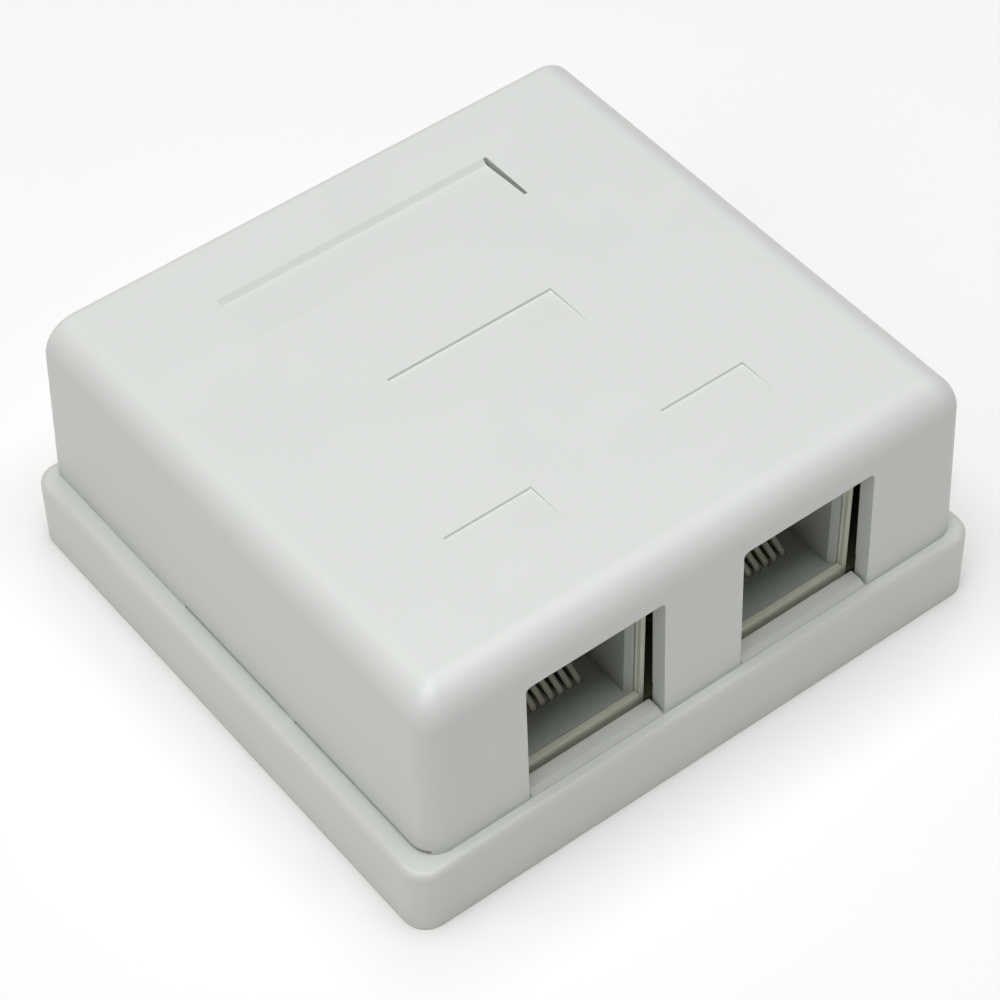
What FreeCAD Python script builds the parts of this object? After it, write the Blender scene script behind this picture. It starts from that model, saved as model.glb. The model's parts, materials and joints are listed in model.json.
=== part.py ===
import FreeCAD, Part

# Surface mount jack box with two eight-position modular jacks.
# Frame: X to the right, Y to the back, Z up, origin at the middle of the underside.
# The jacks open to the front (-Y) and the cover lifts straight up off the base.

import math
import os

import Sketcher

# Driving sizes in millimetres (angles in degrees), each one written once.
SIZES = [
    # Base tray
    ("box_width", 65.0, "base, left to right"),
    ("box_depth", 61.0, "base, front to back"),
    ("box_height", 27.0, "whole box, cover on"),
    ("base_height", 7.7, "rim of the base, where the cover sits"),
    ("base_corner", 2.4, "upright corners of the base"),
    ("base_edge_round", 0.7, "rounded top edge of the rim"),
    ("floor_thickness", 2.0, "floor of the base"),
    ("seat_width", 1.0, "how far the cover's edge sits in on the rim"),
    ("core_web", 1.0, "walls left beside the hollows under the wide rim"),
    ("core_roof", 2.0, "material left above those hollows"),
    ("core_gap", 2.4, "ribs between those hollows"),
    # Cover shell
    ("cover_left_inset", 2.1, "cover's edge in from the base, left"),
    ("cover_right_inset", 1.0, "cover's edge in from the base, right"),
    ("cover_front_inset", 1.35, "cover's edge in from the base, front"),
    ("cover_back_inset", 1.0, "cover's edge in from the base, back"),
    ("cover_draft", 1.5, "draft of the cover's sides, degrees"),
    ("cover_corner", 2.5, "upright front corners of the cover"),
    ("cover_shoulder", 3.5, "round shoulders at front, left and right"),
    ("cover_back_round", 1.0, "edges round the cover's back"),
    ("cover_wall", 1.7, "cover's walls and top"),
    ("tongue_gap", 0.3, "locating tongue to the rim"),
    ("tongue_thickness", 1.2, "locating tongue"),
    ("tongue_depth", 2.6, "tongue below the seam"),
    ("tongue_root", 2.4, "tongue above the seam"),
    ("tongue_corner", 0.8, "upright corners of the tongue"),
    ("tongue_relief", 1.4, "tongue's ends clear of the port openings' sides"),
    ("bead_height", 0.2, "snap bead, proud of the tongue"),
    ("bead_drop", 1.5, "snap bead's ridge below the seam"),
    ("bead_length", 12.0, "snap bead and its groove"),
    ("groove_depth", 0.5, "snap groove in the rim"),
    ("relief_height", 0.45, "gap left under the cover's side edges"),
    ("relief_start", 0.65, "gap's front end behind the cover's front"),
    ("relief_length", 36.0, "gap, front to back"),
    ("relief_rib", 1.2, "closed spot in the gap"),
    ("relief_rib_back", 20.1, "closed spot behind the gap's front end"),
    # Port openings and sills
    ("port_share", 0.37, "middle to middle of the two ports, as a share of the box's width"),
    ("notch_width", 15.2, "port opening in the cover"),
    ("notch_shift", 0.3, "port openings to the right of their jacks' middles"),
    ("notch_drop", 4.5, "top of the port openings below the cover's top"),
    ("notch_corner", 0.6, "round upper corners of the port openings"),
    ("sill_rise", 0.6, "sill over the rim"),
    ("sill_back", 3.3, "sill's back face behind the base's front"),
    ("sill_gap", 0.25, "sill to the sides of the port opening"),
    ("sill_back_round", 0.2, "sill's edge toward the jack"),
    ("sill_bevel", 0.5, "slope of the sill's front edge"),
    # Recesses in the top
    ("label_width", 30.8, "label recess, left to right"),
    ("label_depth", 6.4, "label recess, front to back"),
    ("label_sink", 0.45, "label recess at its deep back edge"),
    ("label_slope", 0.55, "run of the label recess's sloping back"),
    ("label_back", 8.9, "label recess's back edge in front of the base's back"),
    ("slot_width", 0.36, "slot at the label recess's right end"),
    ("centre_width", 18.6, "centre recess, left to right"),
    ("centre_depth", 6.4, "centre recess, front to back"),
    ("centre_sink", 0.25, "centre recess at its back edge"),
    ("centre_slope", 0.1, "run of the centre recess's back"),
    ("centre_back", 26.6, "centre recess's back edge in front of the base's back"),
    ("icon_width", 9.5, "icon recess over each port"),
    ("icon_depth", 4.6, "icon recess, front to back"),
    ("icon_sink", 0.2, "icon recess at its back edge"),
    ("icon_slope", 0.1, "run of the icon recesses' backs"),
    ("icon_back", 44.7, "icon recesses' back edge in front of the base's back"),
    # Inside the cover
    ("rib_thickness", 1.2, "ribs that hold the jacks down"),
    ("rib_length", 11.0, "hold-down rib, left to right"),
    ("rib_pitch", 8.0, "from one hold-down rib to the next"),
    ("rib_gap", 0.2, "hold-down rib to the jack"),
    ("rib_root", 0.5, "how far the ribs run into the cover's top"),
    ("breakout_width", 16.0, "cable break-out in the cover's back"),
    ("breakout_height", 8.0, "cable break-out over the seam"),
    ("breakout_line", 0.8, "groove round the break-out"),
    ("breakout_web", 0.8, "skin left behind that groove"),
    # Board and its supports
    ("board_thickness", 1.6, "circuit board"),
    ("board_under", 4.9, "underside of the board over the table"),
    ("board_margin", 6.3, "board's side edges in from the base's sides"),
    ("board_front", 4.5, "board's front edge behind the base's front"),
    ("board_back_gap", 1.5, "board's back edge in front of the tie anchor"),
    ("board_corner", 1.0, "corners of the board"),
    ("post_radius", 2.0, "plain posts under the board"),
    ("post_inset", 3.0, "posts and the back screw in from the board's edges"),
    ("boss_radius", 2.9, "screw bosses"),
    ("boss_setback", 9.0, "front screw behind the board's front edge"),
    ("screw_radius", 1.45, "board screw's thread"),
    ("screw_gap", 0.05, "thread to its bore in the boss"),
    ("screw_length", 5.2, "thread below the head"),
    ("screw_hole_gap", 0.2, "thread to the board's hole"),
    ("head_radius", 2.4, "pan head"),
    ("head_height", 1.8, "pan head"),
    ("recess_width", 0.8, "cross recess, one bar"),
    ("recess_length", 2.8, "cross recess, over its bars"),
    ("recess_depth", 1.0, "cross recess"),
    # Wall fixing and cable entry in the floor
    ("wall_hole_spacing", 36.0, "middle to middle of the wall-screw slots"),
    ("wall_hole_width", 4.2, "wall-screw slot across"),
    ("wall_hole_length", 7.0, "wall-screw slot overall"),
    ("wall_head_width", 8.4, "sunk seat for the screw head across"),
    ("wall_head_depth", 0.8, "sunk seat for the screw head"),
    ("wall_hole_back", 11.5, "wall-screw slots in front of the base's back"),
    ("slot_flat", 0.02, "flat left between the round corners at a slot's ends"),
    ("entry_width", 20.0, "cable entry, left to right"),
    ("entry_depth", 9.0, "cable entry, front to back"),
    ("entry_corner", 2.0, "corners of the cable entry"),
    ("entry_back", 4.6, "cable entry in front of the base's back"),
    ("anchor_width", 9.0, "tie anchor, left to right"),
    ("anchor_depth", 2.4, "tie anchor, front to back"),
    ("anchor_height", 4.2, "tie anchor over the floor"),
    ("anchor_gap", 1.0, "tie anchor in front of the cable entry"),
    ("tie_width", 5.4, "passage for the cable tie"),
    ("tie_height", 2.4, "passage for the cable tie"),
    # Jack housing
    ("jack_front", 3.7, "jack's face behind the base's front"),
    ("jack_width", 14.8, "jack housing"),
    ("jack_height", 14.0, "jack housing over the board"),
    ("jack_depth", 17.0, "jack housing, front to back"),
    ("bezel_depth", 0.5, "front frame of the housing"),
    ("bezel_opening", 13.8, "opening in the front frame"),
    ("bezel_sill", 1.7, "opening's lower edge over the board"),
    ("bezel_lintel", 0.8, "housing over the opening"),
    ("jack_wall", 0.6, "housing's side, top and bottom walls"),
    ("carrier_gap", 0.1, "carrier to the housing's walls"),
    ("peg_radius", 1.5, "locating pegs through the board"),
    ("peg_spacing", 11.4, "middle to middle of the pegs"),
    ("peg_setback", 8.4, "pegs behind the jack's face"),
    ("hole_gap", 0.1, "peg to its hole in the board"),
    # Contact carrier and its cavity
    ("plug_width", 11.9, "plug cavity"),
    ("plug_height", 6.8, "plug cavity"),
    ("plug_floor", 2.6, "floor of the plug cavity over the board"),
    ("plug_depth", 12.0, "plug cavity behind the jack's face"),
    ("latch_width", 6.3, "latch channel above the cavity"),
    ("latch_height", 2.9, "latch channel above the cavity"),
    ("mouth_depth", 3.0, "latch shoulders behind the jack's face"),
    ("lead_in", 0.5, "bevel round the mouth of the cavity"),
    ("comb_width", 0.72, "slot for one contact wire"),
    ("comb_front", 4.2, "slots' front end behind the jack's face"),
    ("comb_floor", 1.2, "bottom of the slots over the board"),
    ("comb_top", 8.8, "top of the slots in the back wall, over the board"),
    ("comb_bite", 1.0, "slots' depth into the back wall"),
    # Contact wires
    ("contact_pitch", 1.016, "from one contact to the next"),
    ("contact_width", 0.5, "contact across"),
    ("contact_thickness", 0.3, "contact's metal"),
    ("contact_lead", 1.5, "middle of the lead over the board"),
    ("contact_bend", 0.75, "radius of the front bend"),
    ("contact_elbow", 0.5, "radius over the solder pin"),
    ("contact_front", 4.45, "front of the bend behind the jack's face"),
    ("contact_slope", 30.0, "rise of the free leg, degrees"),
    ("contact_reach", 12.3, "tip behind the jack's face"),
    ("pin_row", 13.2, "front row of solder pins behind the jack's face"),
    ("pin_stagger", 1.8, "from the front row to the back row"),
    ("pin_stick_out", 0.9, "pins below the board"),
    ("pin_hole_radius", 0.38, "holes for the solder pins"),
    # Terminal block
    ("block_width", 18.8, "terminal block"),
    ("block_depth", 12.6, "terminal block"),
    ("block_slab", 4.4, "block up to the bottom of the wire gaps"),
    ("block_gap", 3.0, "terminal block behind the jack"),
    ("tower_height", 6.6, "towers over the slab"),
    ("tower_depth", 3.6, "tower, front to back"),
    ("tower_roof", 1.0, "slope on the towers' tops"),
    ("wire_pitch", 3.9, "from one wire gap to the next"),
    ("wire_gap", 1.3, "gap that takes one wire"),
    ("row_spacing", 7.6, "between the two rows of terminals"),
    ("clip_width", 2.6, "clip across its fork"),
    ("clip_thickness", 0.4, "clip's metal"),
    ("clip_gap", 0.1, "clip to its slot"),
    ("clip_lift", 0.15, "clip's shoulders over the board"),
    ("clip_height", 9.4, "top of the fork over the board"),
    ("clip_slit", 0.36, "slit that grips the wire"),
    ("clip_slit_depth", 4.2, "slit, down from the fork's top"),
    ("clip_mouth", 1.5, "mouth of the slit across"),
    ("clip_mouth_depth", 0.9, "mouth of the slit, down from the top"),
    ("clip_pin_width", 0.6, "clip's solder pin"),
    ("clip_hole_radius", 0.5, "holes for the clips' pins"),
]

FULL_TURN = 360.0
CONTACTS = 8
WIRES_PER_ROW = 4
SIDES = {"left": -1, "right": 1}

doc = FreeCAD.newDocument("jack_box")
sheet = doc.addObject("Spreadsheet::Sheet", "Sizes")


class Size:
    """A length kept both as a number and as the expression that binds it to the sheet."""

    def __init__(self, number, text):
        self.number = number
        self.text = text

    def __add__(self, other):
        return joined(self, "+", other)

    def __radd__(self, other):
        return joined(other, "+", self)

    def __sub__(self, other):
        return joined(self, "-", other)

    def __rsub__(self, other):
        return joined(other, "-", self)

    def __mul__(self, other):
        return joined(self, "*", other)

    def __rmul__(self, other):
        return joined(other, "*", self)

    def __truediv__(self, other):
        return joined(self, "/", other)

    def __neg__(self):
        return Size(-self.number, f"(0 - {self.text})")


def joined(first, sign, second):
    """The sum, difference, product or quotient of two sizes or plain numbers."""
    one = number_of(first)
    two = number_of(second)
    result = {"+": one + two, "-": one - two, "*": one * two, "/": one / two if two else 0.0}[sign]
    return Size(result, f"({text_of(first)} {sign} {text_of(second)})")


def number_of(value):
    return value.number if isinstance(value, Size) else float(value)


def text_of(value):
    return value.text if isinstance(value, Size) else repr(value)


def fill_sheet():
    """Write the driving sizes to the sheet and return them by name."""
    found = {}
    for row, (name, number, note) in enumerate(SIZES, start=1):
        sheet.set(f"A{row}", name)
        sheet.set(f"B{row}", str(number))
        sheet.setAlias(f"B{row}", name)
        sheet.set(f"C{row}", note)
        found[name] = Size(number, f"Sizes.{name}")
    doc.recompute()
    return found


size = fill_sheet()

# Places that several pieces share, worked out from the driving sizes.
half_width = size["box_width"] / 2
front = -(size["box_depth"] / 2)
back = size["box_depth"] / 2
seam = size["base_height"]
floor_top = size["floor_thickness"]
cover_left = size["cover_left_inset"] - half_width
cover_right = half_width - size["cover_right_inset"]
cover_front = front + size["cover_front_inset"]
cover_back = back - size["cover_back_inset"]
well_left = cover_left + size["seat_width"]
well_right = cover_right - size["seat_width"]
inner_top = size["box_height"] - size["cover_wall"]
port_x = size["box_width"] * size["port_share"] / 2
notch_top = size["box_height"] - size["notch_drop"]
notch_places = {side: way * port_x + size["notch_shift"] for side, way in SIDES.items()}
entry_low = back - size["entry_back"] - size["entry_depth"]
anchor_back = entry_low - size["anchor_gap"]
anchor_front = anchor_back - size["anchor_depth"]
board_top = size["board_under"] + size["board_thickness"]
board_front = front + size["board_front"]
board_back = anchor_front - size["board_back_gap"]
board_half_width = half_width - size["board_margin"]
jack_face = front + size["jack_front"]
jack_top = board_top + size["jack_height"]
post_x = board_half_width - size["post_inset"]
screw_places = {"front": board_front + size["boss_setback"], "back": board_back - size["post_inset"]}
block_y = jack_face + size["jack_depth"] + size["block_gap"] + size["block_depth"] / 2


def bind(item, prop, value):
    """Set a property to a plain number, or tie it to the sheet."""
    if isinstance(value, Size):
        item.setExpression(prop, value.text)
    else:
        setattr(item, prop, value)


def new_body(label):
    body = doc.addObject("PartDesign::Body", label)
    body.Label = label
    return body


def place(body, along_x, along_y, along_z):
    """Put a finished body in its place in the box."""
    for axis, value in zip("xyz", (along_x, along_y, along_z)):
        body.setExpression(f"Placement.Base.{axis}", text_of(value))


def origin_feature(body, role):
    return next(item for item in body.Origin.OriginFeatures if item.Role == role)


def new_sketch(body, name, plane="XY_Plane", offset=0):
    """A sketch on one of the body's own origin planes, moved along that plane's normal."""
    sketch = body.newObject("Sketcher::SketchObject", name)
    sketch.AttachmentSupport = [(origin_feature(body, plane), "")]
    sketch.MapMode = "FlatFace"
    sketch.setExpression("AttachmentOffset.Base.z", text_of(offset))
    return sketch


def hold(sketch, line, end, x, y):
    """Fix one end of a line at x, y from the sketch's origin."""
    for kind, axis, value in (("DistanceX", -2, x), ("DistanceY", -1, y)):
        if not isinstance(value, Size) and value == 0:
            sketch.addConstraint(Sketcher.Constraint("PointOnObject", line, end, axis))
            continue
        index = sketch.addConstraint(Sketcher.Constraint(kind, -1, 1, line, end, number_of(value)))
        if isinstance(value, Size):
            sketch.setExpression(f"Constraints[{index}]", value.text)


def outline(sketch, corners):
    """A closed outline of straight lines, each corner held by its distances."""
    points = [FreeCAD.Vector(number_of(x), number_of(y), 0) for x, y in corners]
    lines = []
    for index, point in enumerate(points):
        following = points[(index + 1) % len(points)]
        lines.append(sketch.addGeometry(Part.LineSegment(point, following)))
    for index, line in enumerate(lines):
        following = lines[(index + 1) % len(lines)]
        sketch.addConstraint(Sketcher.Constraint("Coincident", line, 2, following, 1))
    for line, (x, y) in zip(lines, corners):
        hold(sketch, line, 1, x, y)


def rectangle(sketch, left, right, low, high):
    outline(sketch, [(left, low), (right, low), (right, high), (left, high)])


def rounded_rectangle(sketch, left, right, low, high, radius):
    """Four lines and four equal arcs, held by the places of the sides and one radius."""
    x0, x1, y0, y1, r = (number_of(value) for value in (left, right, low, high, radius))
    runs = [((x0 + r, y0), (x1 - r, y0)), ((x1, y0 + r), (x1, y1 - r)),
            ((x1 - r, y1), (x0 + r, y1)), ((x0, y1 - r), (x0, y0 + r))]
    centres = [(x1 - r, y0 + r), (x1 - r, y1 - r), (x0 + r, y1 - r), (x0 + r, y0 + r)]
    up = FreeCAD.Vector(0, 0, 1)
    lines = []
    arcs = []
    for (start, end), centre, turn in zip(runs, centres, (-1, 0, 1, 2)):
        ends = [FreeCAD.Vector(*point, 0) for point in (start, end)]
        circle = Part.Circle(FreeCAD.Vector(*centre, 0), up, r)
        arc = Part.ArcOfCircle(circle, turn * math.pi / 2, (turn + 1) * math.pi / 2)
        lines.append(sketch.addGeometry(Part.LineSegment(*ends)))
        arcs.append(sketch.addGeometry(arc))
    for index in range(4):
        following = lines[(index + 1) % 4]
        sketch.addConstraint(Sketcher.Constraint("Tangent", lines[index], 2, arcs[index], 1))
        sketch.addConstraint(Sketcher.Constraint("Tangent", arcs[index], 2, following, 1))
        direction = "Vertical" if index % 2 else "Horizontal"
        sketch.addConstraint(Sketcher.Constraint(direction, lines[index]))
        if index:
            sketch.addConstraint(Sketcher.Constraint("Equal", arcs[0], arcs[index]))
    held = [("DistanceY", lines[0], low), ("DistanceX", lines[1], right),
            ("DistanceY", lines[2], high), ("DistanceX", lines[3], left)]
    for kind, line, value in held:
        index = sketch.addConstraint(Sketcher.Constraint(kind, -1, 1, line, 1, number_of(value)))
        sketch.setExpression(f"Constraints[{index}]", text_of(value))
    index = sketch.addConstraint(Sketcher.Constraint("Radius", arcs[0], r))
    sketch.setExpression(f"Constraints[{index}]", text_of(radius))


def circle(sketch, x, y, radius):
    middle = FreeCAD.Vector(number_of(x), number_of(y), 0)
    up = FreeCAD.Vector(0, 0, 1)
    edge = sketch.addGeometry(Part.Circle(middle, up, number_of(radius)))
    hold(sketch, edge, 3, x, y)
    index = sketch.addConstraint(Sketcher.Constraint("Radius", edge, number_of(radius)))
    sketch.setExpression(f"Constraints[{index}]", text_of(radius))


def add_feature(body, kind, name, grows, settings):
    """Add a feature to the body and make sure that it adds or takes away material."""
    doc.recompute()
    before = body.Shape.Volume if body.Tip else 0.0
    feature = body.newObject(kind, name)
    for prop, value in settings.items():
        bind(feature, prop, value)
    body.Tip = feature
    doc.recompute()
    change = body.Shape.Volume - before
    if "Invalid" in feature.State or (change <= 0 if grows else change >= 0):
        raise RuntimeError(f"{body.Label}: {name} changed the volume by {change:.3f}")
    return feature


def pad(body, name, sketch, length, **settings):
    settings = {"Profile": sketch, "Length": length, **settings}
    return add_feature(body, "PartDesign::Pad", name, True, settings)


def pocket(body, name, sketch, length, **settings):
    settings = {"Profile": sketch, "Length": length, **settings}
    return add_feature(body, "PartDesign::Pocket", name, False, settings)


def fillet(body, name, radius, test, grows=False):
    """Round the edges that pass the test: outer edges lose material and inner ones gain it."""
    doc.recompute()
    tip = body.Tip
    names = [f"Edge{index}" for index, edge in enumerate(tip.Shape.Edges, start=1) if test(edge)]
    settings = {"Base": (tip, names), "Radius": radius}
    return add_feature(body, "PartDesign::Fillet", name, grows, settings)


def chamfer(body, name, width, test):
    """Bevel the edges that pass the test."""
    doc.recompute()
    tip = body.Tip
    names = [f"Edge{index}" for index, edge in enumerate(tip.Shape.Edges, start=1) if test(edge)]
    settings = {"Base": (tip, names), "Size": width}
    return add_feature(body, "PartDesign::Chamfer", name, False, settings)


def draft(body, name, angle, height, grows=False, **settings):
    """Lean the sides that end at the given height, from the cover's lowest face up."""
    doc.recompute()
    tip = body.Tip
    boxes = {f"Face{index}": face.BoundBox for index, face in enumerate(tip.Shape.Faces, start=1)}
    sides = [key for key, box in boxes.items() if box.ZLength > 0 and near(box.ZMax, height)]
    floor = next(key for key, box in boxes.items() if near(box.ZMax, seam))
    settings = {"Base": (tip, sides), "NeutralPlane": (tip, [floor]), "Angle": angle, **settings}
    return add_feature(body, "PartDesign::Draft", name, grows, settings)


def mirror(body, name, feature, grows):
    """Repeat a feature on the other side of the box's middle plane."""
    plane = (origin_feature(body, "YZ_Plane"), [""])
    settings = {"Originals": [feature], "MirrorPlane": plane}
    return add_feature(body, "PartDesign::Mirrored", name, grows, settings)


def row(body, name, feature, axis, length, count, grows):
    """Repeat a feature along one of the body's axes."""
    direction = (origin_feature(body, axis), [""])
    settings = {"Originals": [feature], "Direction": direction, "Length": length, "Occurrences": count}
    return add_feature(body, "PartDesign::LinearPattern", name, grows, settings)


def near(one, two):
    return abs(one - number_of(two)) < 0.001


def upright(edge):
    box = edge.BoundBox
    return box.ZLength > box.XLength + box.YLength


def along_x(edge):
    return edge.BoundBox.XLength > edge.BoundBox.YLength


def back_edge(edge):
    """True for an edge that runs left to right in the back half of the box."""
    return along_x(edge) and edge.BoundBox.YMin > 0


def flat_at(edge, height):
    """True for an edge that lies level at the given height."""
    box = edge.BoundBox
    return near(box.ZMin, height) and near(box.ZMax, height)


def build_base():
    """The tray: stepped rim, sills, posts, wall-screw slots, cable entry and tie anchor."""
    body = new_body("base")
    sketch = new_sketch(body, "base_outline")
    rounded_rectangle(sketch, -half_width, half_width, front, back, size["base_corner"])
    pad(body, "base_block", sketch, size["base_height"])
    fillet(body, "base_top_edge", size["base_edge_round"], lambda edge: flat_at(edge, seam))

    seat = size["seat_width"]
    sketch = new_sketch(body, "well_outline", offset=seam)
    rounded_rectangle(sketch, well_left, well_right, cover_front + seat, cover_back - seat,
                      size["cover_corner"] - seat)
    pocket(body, "well", sketch, seam - floor_top)

    sill_half_width = size["notch_width"] / 2 - size["sill_gap"]
    sill_top = seam + size["sill_rise"]
    sketch = new_sketch(body, "sill_outline", offset=floor_top)
    for middle in notch_places.values():
        rectangle(sketch, middle - sill_half_width, middle + sill_half_width,
                  cover_front, front + size["sill_back"])
    pad(body, "sills", sketch, sill_top - floor_top)
    chamfer(body, "sill_fronts", size["sill_bevel"],
            lambda edge: flat_at(edge, sill_top) and along_x(edge) and near(edge.BoundBox.YMin, cover_front))
    fillet(body, "sill_backs", size["sill_back_round"],
           lambda edge: flat_at(edge, sill_top) and along_x(edge)
           and near(edge.BoundBox.YMin, front + size["sill_back"]))

    post_front = board_front + size["post_inset"]
    post_back = board_back - size["post_inset"]
    sketch = new_sketch(body, "post_outline", offset=floor_top)
    for side in (-1, 1):
        circle(sketch, side * post_x, post_front, size["post_radius"])
        circle(sketch, side * post_x, post_back, size["post_radius"])
    for screw_y in screw_places.values():
        circle(sketch, 0, screw_y, size["boss_radius"])
    pad(body, "board_posts", sketch, size["board_under"] - floor_top)

    bore = size["screw_radius"] + size["screw_gap"]
    bore_depth = size["screw_length"] - size["board_thickness"] + size["screw_hole_gap"]
    sketch = new_sketch(body, "bore_outline", offset=size["board_under"])
    for screw_y in screw_places.values():
        circle(sketch, 0, screw_y, bore)
    pocket(body, "screw_bores", sketch, bore_depth)

    wall_y = back - size["wall_hole_back"]
    for name, across, depth in (("wall_screw_seat", size["wall_head_width"], size["wall_head_depth"]),
                                ("wall_screw_slot", size["wall_hole_width"], floor_top)):
        half_length = (size["wall_hole_length"] - size["wall_hole_width"] + across) / 2
        corner = (across - size["slot_flat"]) / 2
        sketch = new_sketch(body, name + "_outline", offset=floor_top)
        for side in (-1, 1):
            middle = side * size["wall_hole_spacing"] / 2
            rounded_rectangle(sketch, middle - half_length, middle + half_length,
                              wall_y - across / 2, wall_y + across / 2, corner)
        pocket(body, name, sketch, depth)

    sketch = new_sketch(body, "cable_entry_outline", offset=floor_top)
    rounded_rectangle(sketch, -(size["entry_width"] / 2), size["entry_width"] / 2,
                      entry_low, entry_low + size["entry_depth"], size["entry_corner"])
    pocket(body, "cable_entry", sketch, floor_top)

    sketch = new_sketch(body, "anchor_outline", offset=floor_top)
    rectangle(sketch, -(size["anchor_width"] / 2), size["anchor_width"] / 2, anchor_front, anchor_back)
    pad(body, "tie_anchor", sketch, size["anchor_height"])
    sketch = new_sketch(body, "tie_outline", "XZ_Plane", -anchor_back)
    rectangle(sketch, -(size["tie_width"] / 2), size["tie_width"] / 2,
              floor_top, floor_top + size["tie_height"])
    pocket(body, "tie_passage", sketch, size["anchor_depth"], Reversed=True)

    groove_half = size["bead_length"] / 2
    groove_top = seam - size["bead_drop"] + size["groove_depth"]
    groove_low = seam - size["bead_drop"] - size["groove_depth"]
    for side, place_x in (("left", well_left), ("right", well_right)):
        sketch = new_sketch(body, f"snap_groove_outline_{side}", "YZ_Plane", place_x)
        rectangle(sketch, -groove_half, groove_half, groove_low, groove_top)
        pocket(body, f"snap_groove_{side}", sketch, size["groove_depth"], Reversed=side == "right")

    core_run = (size["box_depth"] - 2 * size["base_corner"] - 2 * size["core_gap"]) / 3
    core_start = front + size["base_corner"]
    sketch = new_sketch(body, "rim_hollow_outline")
    rectangle(sketch, size["core_web"] - half_width, well_left - size["core_web"],
              core_start, core_start + core_run)
    hollow = pocket(body, "rim_hollow", sketch, seam - size["core_roof"], Reversed=True)
    row(body, "rim_hollows", hollow, "Y_Axis", 2 * (core_run + size["core_gap"]), 3, False)
    return body


def build_cover():
    """The lid: drafted shell with round shoulders, a locating tongue and the openings in it."""
    body = new_body("cover")
    top = size["box_height"]
    wall = size["cover_wall"]
    sketch = new_sketch(body, "cover_outline", offset=seam)
    rectangle(sketch, cover_left, cover_right, cover_front, cover_back)
    pad(body, "cover_block", sketch, top - seam)
    draft(body, "cover_draft", size["cover_draft"], top)
    round_cover(body)
    sketch = new_sketch(body, "cavity_outline", offset=seam)
    rectangle(sketch, cover_left + wall, cover_right - wall, cover_front + wall, cover_back - wall)
    pocket(body, "cover_cavity", sketch, inner_top - seam, Reversed=True)
    draft(body, "cavity_draft", size["cover_draft"], inner_top, grows=True, Reversed=True)
    fillet(body, "cavity_shoulders", size["cover_shoulder"] - wall,
           lambda edge: flat_at(edge, inner_top) and not back_edge(edge), grows=True)

    tongue_outer = size["seat_width"] + size["tongue_gap"]
    tongue_inner = tongue_outer + size["tongue_thickness"]
    tongue_low = seam - size["tongue_depth"]
    sketch = new_sketch(body, "tongue_outline", offset=tongue_low)
    for inset in (tongue_outer, tongue_inner):
        rounded_rectangle(sketch, cover_left + inset, cover_right - inset,
                          cover_front + inset, cover_back - inset, size["tongue_corner"])
    pad(body, "tongue", sketch, size["tongue_depth"] + size["tongue_root"])

    notch_half = size["notch_width"] / 2
    sketch = new_sketch(body, "notch_outline", "XZ_Plane", -cover_front)
    for middle in notch_places.values():
        rectangle(sketch, middle - notch_half, middle + notch_half,
                  tongue_low - size["tongue_gap"], notch_top)
    notch_depth = tongue_inner + size["tongue_gap"]
    pocket(body, "notches", sketch, notch_depth)
    fillet(body, "notch_corners", size["notch_corner"],
           lambda edge: flat_at(edge, notch_top) and not along_x(edge), grows=True)
    for side, middle in notch_places.items():
        shorten_tongue(body, side, middle, tongue_outer, tongue_inner)

    recess(body, "label_recess", 0, "label")
    recess(body, "centre_recess", 0, "centre")
    icon = recess(body, "icon_recess_right", port_x, "icon")
    mirror(body, "icon_recess_left", icon, False)

    slot_x = size["label_width"] / 2
    slot_back = back - size["label_back"]
    sketch = new_sketch(body, "label_slot_outline", offset=top)
    rectangle(sketch, slot_x - size["slot_width"] / 2, slot_x + size["slot_width"] / 2,
              slot_back - size["label_depth"], slot_back)
    clean_through = 2 * wall
    pocket(body, "label_slot", sketch, clean_through)

    relief_front = cover_front + size["relief_start"]
    relief_back = relief_front + size["relief_length"]
    rib_back = relief_front + size["relief_rib_back"]
    rib_front = rib_back - size["relief_rib"]
    for side, place_x in (("left", cover_left), ("right", cover_right)):
        sketch = new_sketch(body, f"edge_relief_outline_{side}", "YZ_Plane", place_x)
        rectangle(sketch, relief_front, rib_front, seam, seam + size["relief_height"])
        rectangle(sketch, rib_back, relief_back, seam, seam + size["relief_height"])
        pocket(body, f"edge_relief_{side}", sketch, tongue_outer, Reversed=side == "left")

    rib_low = jack_top + size["rib_gap"]
    rib_half = size["rib_length"] / 2
    rib_front = jack_face + size["jack_depth"] / 2 - size["rib_pitch"] / 2 - size["rib_thickness"] / 2
    sketch = new_sketch(body, "rib_outline", offset=rib_low)
    for side in (-1, 1):
        for step in (0, 1):
            low = rib_front + step * size["rib_pitch"]
            rectangle(sketch, side * port_x - rib_half, side * port_x + rib_half,
                      low, low + size["rib_thickness"])
    pad(body, "hold_down_ribs", sketch, inner_top + size["rib_root"] - rib_low)

    breakout_groove(body)

    bead_z = seam - size["bead_drop"]
    bead = size["bead_height"]
    sketch = new_sketch(body, "bead_outline", "XZ_Plane")
    for root, proud in ((cover_left + tongue_outer, -bead), (cover_right - tongue_outer, bead)):
        outline(sketch, [(root - proud, bead_z - 2 * bead), (root + proud, bead_z),
                         (root - proud, bead_z + 2 * bead)])
    pad(body, "snap_beads", sketch, size["bead_length"], Midplane=True)
    return body


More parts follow.
